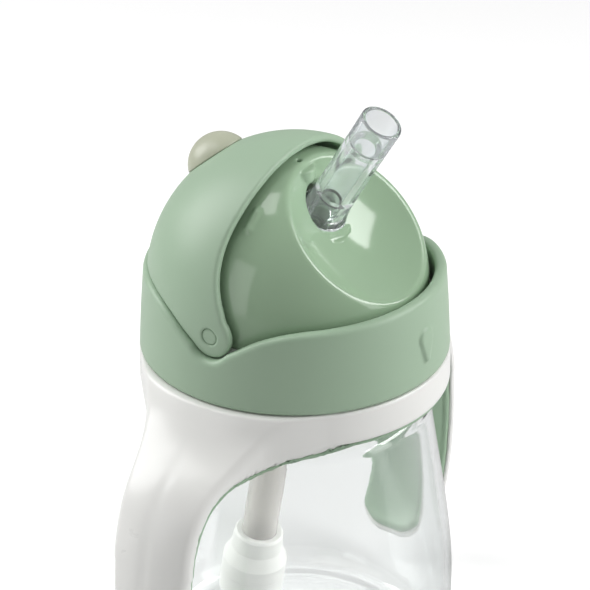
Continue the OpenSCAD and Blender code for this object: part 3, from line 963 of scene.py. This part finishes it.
# %% [markdown]
# ## Screw ridge
# The lid screws onto a ridge that climbs round the neck. Its shape is a rule: a small trapezoid that
# follows a spiral. It could be a curve with a bevel object, or a Screw modifier. Geometry Nodes states
# the rule with its sizes as named inputs, so the ridge can be made longer or steeper without any
# modelling. The tree's result is then turned into a plain mesh, which the export and the later steps can
# use.

# %% Screw ridge's inputs
RIDGE_SIZES = {"Turns": 1.25, "Pitch": 0.005, "Middle Radius": 0.03205, "Foot": 0.0024, "Crest": 0.001,
               "Depth": 0.0017, "Start": 0.0972}
ridge = bpy.data.node_groups.new("screw_ridge", "GeometryNodeTree")
link = ridge.links.new
inputs = {}
for name in RIDGE_SIZES:
    inputs[name] = ridge.interface.new_socket(name, in_out="INPUT", socket_type="NodeSocketFloat").identifier
inputs["Material"] = ridge.interface.new_socket("Material", in_out="INPUT",
                                                socket_type="NodeSocketMaterial").identifier
ridge.interface.new_socket("Geometry", in_out="OUTPUT", socket_type="NodeSocketGeometry")
sizes, end = node(ridge, "NodeGroupInput"), node(ridge, "NodeGroupOutput")
print("screw ridge takes", ", ".join(inputs))

# %% Screw ridge's spiral
spiral = node(ridge, "GeometryNodeCurveSpiral")
spiral.inputs["Resolution"].default_value = 96
spiral.inputs["Reverse"].default_value = True
climb = node(ridge, "ShaderNodeMath", operation="MULTIPLY")
link(sizes.outputs["Turns"], climb.inputs[0])
link(sizes.outputs["Pitch"], climb.inputs[1])
link(climb.outputs[0], spiral.inputs["Height"])
link(sizes.outputs["Turns"], spiral.inputs["Rotations"])
for radius in ("Start Radius", "End Radius"):
    link(sizes.outputs["Middle Radius"], spiral.inputs[radius])
upright = node(ridge, "GeometryNodeSetCurveNormal", mode="Z_UP")
link(spiral.outputs["Curve"], upright.inputs["Curve"])
print("spiral of", RIDGE_SIZES["Turns"], "turns")

# %% Screw ridge's section
section = node(ridge, "GeometryNodeCurvePrimitiveQuadrilateral", mode="TRAPEZOID")
section.inputs["Offset"].default_value = 0.0
for source, target in (("Foot", "Bottom Width"), ("Crest", "Top Width"), ("Depth", "Height")):
    link(sizes.outputs[source], section.inputs[target])
outwards = node(ridge, "GeometryNodeTransform")
outwards.inputs["Rotation"].default_value = (0.0, 0.0, -math.pi / 2)
link(section.outputs["Curve"], outwards.inputs["Geometry"])
sweep = node(ridge, "GeometryNodeCurveToMesh")
sweep.inputs["Fill Caps"].default_value = True
link(upright.outputs["Curve"], sweep.inputs["Curve"])
link(outwards.outputs["Geometry"], sweep.inputs["Profile Curve"])
print("section", RIDGE_SIZES["Foot"] * 1000, "mm at the foot,", RIDGE_SIZES["Crest"] * 1000, "mm at the crest")

# %% Screw ridge's place and finish
height = node(ridge, "ShaderNodeCombineXYZ")
link(sizes.outputs["Start"], height.inputs["Z"])
lift = node(ridge, "GeometryNodeTransform")
link(sweep.outputs["Mesh"], lift.inputs["Geometry"])
link(height.outputs[0], lift.inputs["Translation"])
solid = node(ridge, "GeometryNodeRealizeInstances")
link(lift.outputs["Geometry"], solid.inputs["Geometry"])
painted = node(ridge, "GeometryNodeSetMaterial")
link(solid.outputs["Geometry"], painted.inputs["Geometry"])
link(sizes.outputs["Material"], painted.inputs["Material"])
link(painted.outputs["Geometry"], end.inputs["Geometry"])
print("screw ridge tree:", len(ridge.nodes), "nodes")

# %% Screw ridge
maker = bpy.data.objects.new("ridge_maker", bpy.data.meshes.new("ridge_maker"))
scene.collection.objects.link(maker)
recipe = maker.modifiers.new("screw_ridge", "NODES")
recipe.node_group = ridge
for name, size in RIDGE_SIZES.items():
    recipe[inputs[name]] = size
recipe[inputs["Material"]] = mats[MAT_SLOT["bottle_body"]]
made = bpy.data.meshes.new_from_object(maker.evaluated_get(bpy.context.evaluated_depsgraph_get()))
pts = [tuple(1000.0 * c for c in v.co) for v in made.vertices]
faces = [tuple(q.vertices) for q in made.polygons]
bpy.data.objects.remove(maker)
neck_ridge = mesh_object("neck_ridge", pts, faces, "bottle", smooth_all=False)
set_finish(neck_ridge, MAT_SLOT["bottle_body"])
levels = [round(z, 2) for z in (min(q[2] for q in pts), max(q[2] for q in pts))]
print("screw ridge", len(pts), "points, height", levels[0], "to", levels[1])

# %% [markdown]
# ## Spout
# The clear soft spout has a flange that the dome holds, a thick root, a slim stem and a wide short cup at
# the tip that makes a ledge inside. It is round, so it is turned about its leaning axis. The real one
# folds down under the closing cover.

# %% Spout
outline = [(3.45, -5.7), (7.4, -5.7), (7.4, -4.55), (4.65, -4.55), (4.65, 0.05), (6.2, 0.05), (6.35, 1.0),
           (5.85, 2.6), (5.4, 5.4), (5.25, 12.0), (5.22, 23.6), (5.27, 24.1), (5.22, 24.6), (5.3, SPOUT_LEN),
           (4.2, SPOUT_LEN), (4.2, 25.3), (2.8, 24.4), (2.8, 7.6), (3.5, 6.6)]
rounds = [0.2, 0.3, 0.3, 0.1, 0.1, 0.3, 0.8, 3.0, 4.0, 3.0, 0.3, 0.2, 0.3, 0.5, 0.45, 0.7, 0.4, 0.5, 0.2]
pts, faces = lathe(rounded(outline, rounds, 8), SPOUT_BASE, SPOUT_DIR, 112)
spout = mesh_object("spout", pts, faces, "lid", ["drinking_spout"])
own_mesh(spout)
print("spout", len(faces), "faces")

# %% [markdown]
# ## Straw
# A soft milky tube that hangs from the lid and carries the weight at its lower end, so that it finds the
# liquid when the bottle is tipped. Here it is a straight turned tube that rides on no body.

# %% Straw
STRAW_RINGS = 40
corners = rounded([(3.4, 5.2), (4.7, 5.2), (4.7, 100.0), (3.4, 100.0)], 0.3, 4)
outline = []
for here, after in zip(corners, np.roll(corners, -1, axis=0)):
    outline.append(here)
    if np.linalg.norm(after - here) > 20:
        outline += [here + (after - here) * k / STRAW_RINGS for k in range(1, STRAW_RINGS)]
pts, faces = lathe(outline, STRAW_TOP, STRAW_DIR, 64)
straw = mesh_object("straw", pts, faces, None, ["straw_tube"])
bend = [tuple((STRAW_TOP + far * STRAW_DIR) / 1000.0) for far in (6.0, 30.0)]
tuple(bend[0])
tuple(bend[1])
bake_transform(straw)
print("straw", len(faces), "faces")

# %% [markdown]
# ## Dressing the pieces
# Each piece gets the finish that its slot in the record names. A piece that keeps its solid has the
# finish put in its material slots only, and a rebuilt piece gets it on its mesh.

# %% Dressing
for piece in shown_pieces():
    cad_node = piece.get("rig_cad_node")
    finish = mats[MAT_SLOT[cad_node] if cad_node else piece.get("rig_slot")]
    if cad_node and piece.material_slots:
        for slot in piece.material_slots:
            slot.material = finish
    else:
        if not cad_node:
            piece.data.materials.clear()
        piece.data.materials.append(finish)

# %% [markdown]
# ## Stage
# A plain pale floor and a plain white room. Clear plastic shows what is behind it, so the room is bright
# for the rays that go straight to the eye, dimmer for those that come through something clear, and
# dimmest for the light it casts, which leaves the shading to the lamps.


# %% Room
def seen_through(tree):
    """1 for rays straight to the eye, 0.4 for those through something clear, 0 for the rest."""
    ray = node(tree, "ShaderNodeLightPath")
    share = node(tree, "ShaderNodeMath", operation="MULTIPLY_ADD", use_clamp=True)
    share.inputs[1].default_value = 0.4
    tree.links.new(ray.outputs["Is Transmission Ray"], share.inputs[0])
    tree.links.new(ray.outputs["Is Camera Ray"], share.inputs[2])
    return share.outputs[0]


world = bpy.data.worlds.new("studio")
scene.world = world
world.use_nodes = True
room = world.node_tree
room.nodes["Background"].inputs["Color"].default_value = (1, 1, 1, 1)
glow = node(room, "ShaderNodeMapRange")
glow.inputs["To Min"].default_value = 0.32
glow.inputs["To Max"].default_value = 0.9
room.links.new(seen_through(room), glow.inputs["Value"])
room.links.new(glow.outputs["Result"], room.nodes["Background"].inputs["Strength"])
print("room ready")

# %% Floor
HALF_FLOOR = 4.0
mesh = bpy.data.meshes.new("floor")
mesh.from_pydata([(x * HALF_FLOOR, y * HALF_FLOOR, 0) for x, y in ((-1, -1), (1, -1), (1, 1), (-1, 1))], [],
                 [(0, 1, 2, 3)])
floor = bpy.data.objects.new("floor", mesh)
scene.collection.objects.link(floor)
pale = plastic("floor", (0.66, 0.66, 0.66), 0.7, bump=0.0, shift=0.0, smudge=0.0)
tree = pale.node_tree
shine = node(tree, "ShaderNodeMath", operation="MULTIPLY")
shine.inputs[1].default_value = 0.42
tree.links.new(seen_through(tree), shine.inputs[0])
tree.nodes["Principled BSDF"].inputs["Emission Color"].default_value = (1, 1, 1, 1)
tree.links.new(shine.outputs[0], tree.nodes["Principled BSDF"].inputs["Emission Strength"])
mesh.materials.append(pale)
print("floor", 2 * HALF_FLOOR, "m wide")

# %% [markdown]
# ## Lamps
# Five soft panels. Seen from the camera, a large one stands on the left and a slightly smaller one on the
# right, and they make the bright shapes on the dome. Two low upright ones light the handles from the
# sides, and a small one above lifts the top of the cover. Each is placed by its direction from the lid,
# in metres and watts.


# %% Lamps
def panel(name, direction, size, power, look=0.12):
    """A square-edged soft lamp 0.7 m from the lid, turned towards a height on the bottle's axis."""
    light = bpy.data.lights.new(name, "AREA")
    light.shape = "RECTANGLE"
    light.size, light.size_y = size
    light.energy = power
    lamp = bpy.data.objects.new(name, light)
    scene.collection.objects.link(lamp)
    lamp.location = Vector((0, 0, 0.12)) + 0.7 * Vector(direction).normalized()
    lamp.rotation_mode = "QUATERNION"
    lamp.rotation_quaternion = (Vector((0, 0, look)) - lamp.location).to_track_quat("-Z", "Y")


panel("left", (-0.22, 0.82, 0.53), (0.40, 0.50), 3.4)
panel("right", (0.50, -0.68, 0.54), (0.36, 0.36), 3.2)
panel("right_low", (0.25, -0.95, 0.12), (0.25, 0.50), 1.0, look=0.10)
panel("left_low", (-0.95, 0.25, 0.18), (0.25, 0.50), 0.55, look=0.10)
panel("above", (-0.13, 0.37, 0.92), (0.26, 0.26), 0.8)
print("lamps:", len(bpy.data.lights))

# %% [markdown]
# ## Camera
# A long lens from the front left, looking down a little on the lid, so that the ring and collar are
# gentle ellipses. It is turned up a touch from the bottle's shoulder, so that the lid fills the view and
# the lower half of the bottle is left out.

# %% Camera
LENS, DISTANCE, TURNED_UP = 155.9, 0.65, 0.01689
back = Vector((-0.725, -0.489, 0.4848)).normalized()
up = Vector((0.402, 0.271, 0.8746)).normalized()
ahead = (TURNED_UP * up - back).normalized()
right = ahead.cross(up).normalized()
camera = bpy.data.objects.new("camera", bpy.data.cameras.new("camera"))
scene.collection.objects.link(camera)
camera.data.sensor_width = 36.0
camera.data.lens = LENS
camera.data.clip_start, camera.data.clip_end = 0.01, 20.0
camera.location = Vector((0, 0, 0.095)) + DISTANCE * back
camera.rotation_mode = "QUATERNION"
camera.rotation_quaternion = Matrix((right, right.cross(ahead), -ahead)).transposed().to_quaternion()
scene.camera = camera
scene.view_settings.view_transform = "Standard"
print("camera at", tuple(round(c, 3) for c in camera.location))
